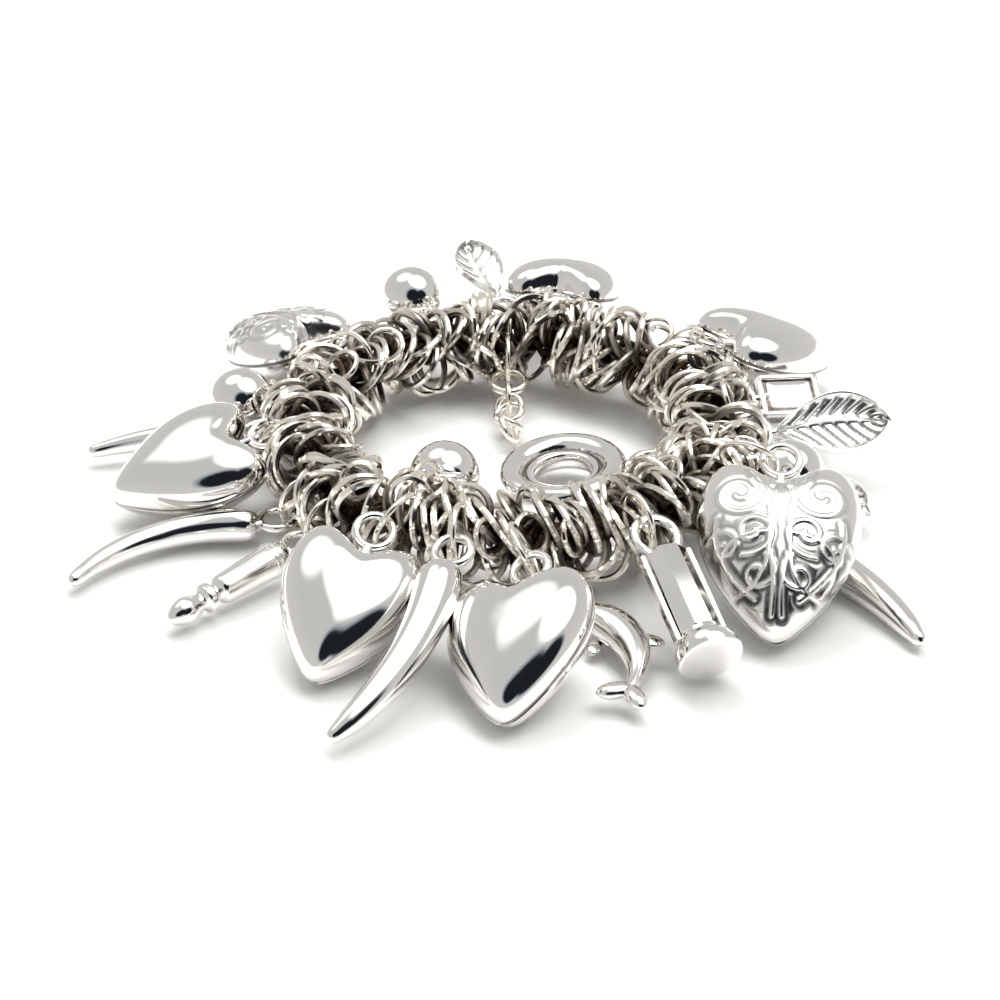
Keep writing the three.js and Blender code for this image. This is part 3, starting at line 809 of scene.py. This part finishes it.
# Making objects
def mesh_from_shell(name, shell):
    mesh = bpy.data.meshes.new(name)
    mesh.from_pydata([point * MM for point in shell.points], [], shell.faces)
    build = bmesh.new()
    build.from_mesh(mesh)
    bmesh.ops.recalc_face_normals(build, faces=build.faces)
    build.to_mesh(mesh)
    build.free()
    values = mesh.attributes.new("tarnish_and_shade", "FLOAT", "POINT")
    values.data.foreach_set("value", shell.tarnish_and_shade)
    mesh.shade_smooth()
    return mesh


def add_piece(name, shell, place, slot, node, sharp=SMOOTH_ANGLE):
    mesh = mesh_from_shell(name, shell.moved(Matrix.Translation(LOOP_MIDDLE) @ place))
    mesh.set_sharp_from_angle(angle=math.radians(sharp))
    mesh.materials.append(MATERIALS[slot])
    piece = bpy.data.objects.new(name, mesh)
    bpy.context.scene.collection.objects.link(piece)
    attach(piece, "root")
    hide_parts(node)
    return piece


# Materials: colours and roughness of the bright silver and of the darkened silver, whose dark colour is
# tarnish and painted shade, and the strength of the fine bumps
FINISHES = {
    "polished_silver": {
        "colour": (0.9, 0.885, 0.86), "dark_colour": (0.12, 0.1, 0.08), "roughness": 0.07,
        "dark_roughness": 0.4, "scratch": 0.12, "grain": 0.0, "tarnish_and_shade_power": 1.0,
    },
    "engraved_silver": {
        "colour": (0.93, 0.915, 0.89), "dark_colour": (0.03, 0.03, 0.032), "roughness": 0.16,
        "dark_roughness": 0.4, "scratch": 0.25, "grain": 0.2, "tarnish_and_shade_power": 0.8,
    },
    "leaf_silver": {
        "colour": (0.94, 0.935, 0.92), "dark_colour": (0.22, 0.2, 0.17), "roughness": 0.24,
        "dark_roughness": 0.5, "scratch": 0.2, "grain": 0.2, "tarnish_and_shade_power": 1.0,
    },
    "ring_silver": {
        "colour": (0.98, 0.93, 0.85), "dark_colour": (0.055, 0.034, 0.017), "roughness": 0.15,
        "dark_roughness": 0.45, "scratch": 0.2, "grain": 0.0, "tarnish_and_shade_power": 0.85,
    },
}


def add_node(tree, kind, **sockets):
    node = tree.nodes.new(kind)
    for name, value in sockets.items():
        node.inputs[name.replace("_", " ")].default_value = value
    return node


def silver(name, colour, dark_colour, roughness, dark_roughness, scratch, grain, tarnish_and_shade_power):
    """Polished silver: fine scratches, uneven polish, and a dark colour where the darkening value is high,
    for tarnish and for painted shade and dark reflections.
    """
    material = bpy.data.materials.new(name)
    material.use_nodes = True
    tree = material.node_tree
    link = tree.links.new
    shader = tree.nodes["Principled BSDF"]
    shader.inputs["Metallic"].default_value = 1.0
    place = tree.nodes.new("ShaderNodeTexCoord")

    # The darkening at each point: tarnish, and painted shade and painted dark reflections
    tarnish_and_shade = tree.nodes.new("ShaderNodeAttribute")
    tarnish_and_shade.attribute_name = "tarnish_and_shade"
    cloud = add_node(tree, "ShaderNodeTexNoise", Scale=420.0, Detail=4.0, Roughness=0.6)
    link(place.outputs["Object"], cloud.inputs["Vector"])
    uneven = add_node(tree, "ShaderNodeMapRange", From_Min=0.3, From_Max=0.7, To_Min=0.8, To_Max=1.15)
    link(cloud.outputs["Fac"], uneven.inputs["Value"])
    amount = tree.nodes.new("ShaderNodeMath")
    amount.operation = "MULTIPLY"
    amount.use_clamp = True
    link(tarnish_and_shade.outputs["Fac"], amount.inputs[0])
    link(uneven.outputs["Result"], amount.inputs[1])
    curve = tree.nodes.new("ShaderNodeMath")
    curve.operation = "POWER"
    curve.inputs[1].default_value = tarnish_and_shade_power
    link(amount.outputs["Value"], curve.inputs[0])

    tint = tree.nodes.new("ShaderNodeMix")
    tint.data_type = "RGBA"
    tint.inputs["A"].default_value = (*colour, 1)
    tint.inputs["B"].default_value = (*dark_colour, 1)
    link(curve.outputs["Value"], tint.inputs["Factor"])
    link(tint.outputs["Result"], shader.inputs["Base Color"])

    polish = add_node(tree, "ShaderNodeMapRange", From_Min=0.25, From_Max=0.75,
                      To_Min=roughness * 0.75, To_Max=roughness * 1.3)
    link(cloud.outputs["Fac"], polish.inputs["Value"])
    dull = tree.nodes.new("ShaderNodeMix")
    dull.inputs["B"].default_value = dark_roughness
    link(curve.outputs["Value"], dull.inputs["Factor"])
    link(polish.outputs["Result"], dull.inputs["A"])
    link(dull.outputs["Result"], shader.inputs["Roughness"])

    stretch = tree.nodes.new("ShaderNodeMapping")
    stretch.inputs["Scale"].default_value = (1.0, 9.0, 3.0)
    stretch.inputs["Rotation"].default_value = (0.3, 0.2, 0.7)
    link(place.outputs["Object"], stretch.inputs["Vector"])
    lines = add_node(tree, "ShaderNodeTexNoise", Scale=900.0, Detail=3.0, Roughness=0.55)
    link(stretch.outputs["Vector"], lines.inputs["Vector"])
    scratches = add_node(tree, "ShaderNodeBump", Strength=scratch, Distance=0.00002)
    link(lines.outputs["Fac"], scratches.inputs["Height"])
    grains = add_node(tree, "ShaderNodeTexNoise", Scale=2600.0, Detail=2.0)
    link(place.outputs["Object"], grains.inputs["Vector"])
    sanded = add_node(tree, "ShaderNodeBump", Strength=grain, Distance=0.00004)
    link(grains.outputs["Fac"], sanded.inputs["Height"])
    link(scratches.outputs["Normal"], sanded.inputs["Normal"])
    link(sanded.outputs["Normal"], shader.inputs["Normal"])
    return material


def pale_floor():
    material = bpy.data.materials.new("pale_floor")
    material.use_nodes = True
    tree = material.node_tree
    shader = tree.nodes["Principled BSDF"]
    shader.inputs["Roughness"].default_value = 0.62
    place = tree.nodes.new("ShaderNodeTexCoord")
    cloud = add_node(tree, "ShaderNodeTexNoise", Scale=14.0, Detail=3.0)
    tree.links.new(place.outputs["Object"], cloud.inputs["Vector"])
    shade = tree.nodes.new("ShaderNodeMix")
    shade.data_type = "RGBA"
    shade.inputs["A"].default_value = (0.9, 0.9, 0.895, 1)
    shade.inputs["B"].default_value = (0.93, 0.93, 0.925, 1)
    tree.links.new(cloud.outputs["Fac"], shade.inputs["Factor"])
    tree.links.new(shade.outputs["Result"], shader.inputs["Base Color"])
    return material


# Stage
FLOOR_HALF = 2.5
CAMERA_ELEVATION = 28.7
CAMERA_DISTANCE = 450
VIEW_WIDTH = 170.5
CAMERA_MIDDLE = Vector((0, 0, 8))
AIM = Vector((-1.7, -21.3, 8))

# Round patches of the light tent, in degrees, with the turn to the right of the camera. The first two are
# lamps above, then come the opening's bluish edge and the dark opening, each from two patches.
EDGE_COLOUR = (0.3, 0.36, 0.42)
OPENING_COLOUR = (0.012, 0.014, 0.018)
Patch = namedtuple("Patch", "elevation turn radius softness colour")
WORLD_PATCHES = [
    Patch(70, 100, 18, 13, (4.6, 4.56, 4.46)),
    Patch(60, -140, 14, 11, (1.7, 1.69, 1.65)),
    Patch(36, 8, 25, 3, EDGE_COLOUR),
    Patch(28, 42, 22, 3, EDGE_COLOUR),
    Patch(35, 10, 22, 2.5, OPENING_COLOUR),
    Patch(27, 44, 19, 2.5, OPENING_COLOUR),
]


def add_floor():
    mesh = bpy.data.meshes.new("floor")
    corners = [(-1, -1), (1, -1), (1, 1), (-1, 1)]
    mesh.from_pydata([(FLOOR_HALF * x, FLOOR_HALF * y, 0) for x, y in corners], [], [[0, 1, 2, 3]])
    mesh.materials.append(pale_floor())
    floor = bpy.data.objects.new("floor", mesh)
    bpy.context.scene.collection.objects.link(floor)


def add_camera():
    data = bpy.data.cameras.new("camera")
    data.sensor_width = 36
    data.lens = data.sensor_width * CAMERA_DISTANCE / VIEW_WIDTH
    data.clip_start = 0.01
    camera = bpy.data.objects.new("camera", data)
    bpy.context.scene.collection.objects.link(camera)
    rise = math.radians(CAMERA_ELEVATION)
    eye = LOOP_MIDDLE + CAMERA_MIDDLE + Vector((0, -math.cos(rise), math.sin(rise))) * CAMERA_DISTANCE
    look = (AIM + LOOP_MIDDLE) - eye
    camera.location = eye * MM
    camera.rotation_euler = look.to_track_quat("-Z", "Y").to_euler()
    bpy.context.scene.camera = camera


def add_area_light(name, place, aim, size, power):
    data = bpy.data.lights.new(name, "AREA")
    data.shape = "SQUARE"
    data.size = size
    data.energy = power
    light = bpy.data.objects.new(name, data)
    bpy.context.scene.collection.objects.link(light)
    light.location = place
    light.rotation_euler = (Vector(aim) - Vector(place)).to_track_quat("-Z", "Y").to_euler()
    return light


def direction(elevation, turn):
    """A direction by its height over the floor and its turn from the camera's side, to the right."""
    up, around = math.radians(elevation), math.radians(turn)
    return Vector((math.sin(around) * math.cos(up), -math.cos(around) * math.cos(up), math.sin(up)))


def world_patch(tree, place, middle, radius, softness):
    """How far a direction lies inside a round patch of the world, from 0 to 1."""
    facing = tree.nodes.new("ShaderNodeVectorMath")
    facing.operation = "DOT_PRODUCT"
    facing.inputs[1].default_value = middle
    tree.links.new(place.outputs["Generated"], facing.inputs[0])
    edge = add_node(tree, "ShaderNodeMapRange", From_Min=math.cos(math.radians(radius + softness)),
                    From_Max=math.cos(math.radians(radius - softness)))
    edge.interpolation_type = "SMOOTHSTEP"
    tree.links.new(facing.outputs["Value"], edge.inputs["Value"])
    return edge.outputs["Result"]


def layered(tree, below, colour, amount):
    """A colour laid over another by an amount."""
    mix = tree.nodes.new("ShaderNodeMix")
    mix.data_type = "RGBA"
    mix.inputs["B"].default_value = (*colour, 1)
    tree.links.new(amount, mix.inputs["Factor"])
    tree.links.new(below, mix.inputs["A"])
    return mix.outputs["Result"]


def add_world():
    """A pale light tent with soft round lamps above and a dark opening at the front."""
    world = bpy.data.worlds.new("tent")
    world.use_nodes = True
    tree = world.node_tree
    place = tree.nodes.new("ShaderNodeTexCoord")
    split = tree.nodes.new("ShaderNodeSeparateXYZ")
    tree.links.new(place.outputs["Generated"], split.inputs["Vector"])
    walls = tree.nodes.new("ShaderNodeValToRGB")
    walls.color_ramp.elements[0].position = 0.0
    walls.color_ramp.elements[0].color = (0.66, 0.65, 0.63, 1)
    walls.color_ramp.elements[1].position = 0.7
    walls.color_ramp.elements[1].color = (0.585, 0.58, 0.57, 1)
    tree.links.new(split.outputs["Z"], walls.inputs["Fac"])
    colour = walls.outputs["Color"]
    for patch in WORLD_PATCHES:
        middle = direction(patch.elevation, patch.turn)
        amount = world_patch(tree, place, middle, patch.radius, patch.softness)
        colour = layered(tree, colour, patch.colour, amount)
    background = tree.nodes["Background"]
    tree.links.new(colour, background.inputs["Color"])
    background.inputs["Strength"].default_value = 1.0
    bpy.context.scene.world = world


def add_lights():
    add_world()
    fill = add_area_light("floor_fill", place=(-0.08, 0.3, 0.6), aim=(0, 0, 0), size=0.3, power=2.0)
    fill.visible_glossy = False


add_camera()
add_floor()
add_lights()
bpy.context.scene.view_settings.view_transform = "Standard"

MATERIALS = {name: silver(name, **finish) for name, finish in FINISHES.items()}

add_piece("band_of_jump_rings", ring_band(), Matrix.Identity(4), "ring_silver", "ring_band")
for row in CHARMS:
    slot = SLOTS.get(row.kind, "polished_silver")
    charm_place = place_of(row)[0]
    sharp = FACET_ANGLE if row.kind == "stamp" else SMOOTH_ANGLE
    add_piece(row.name + "_fine", KINDS[row.kind](), charm_place, slot, row.name, sharp)
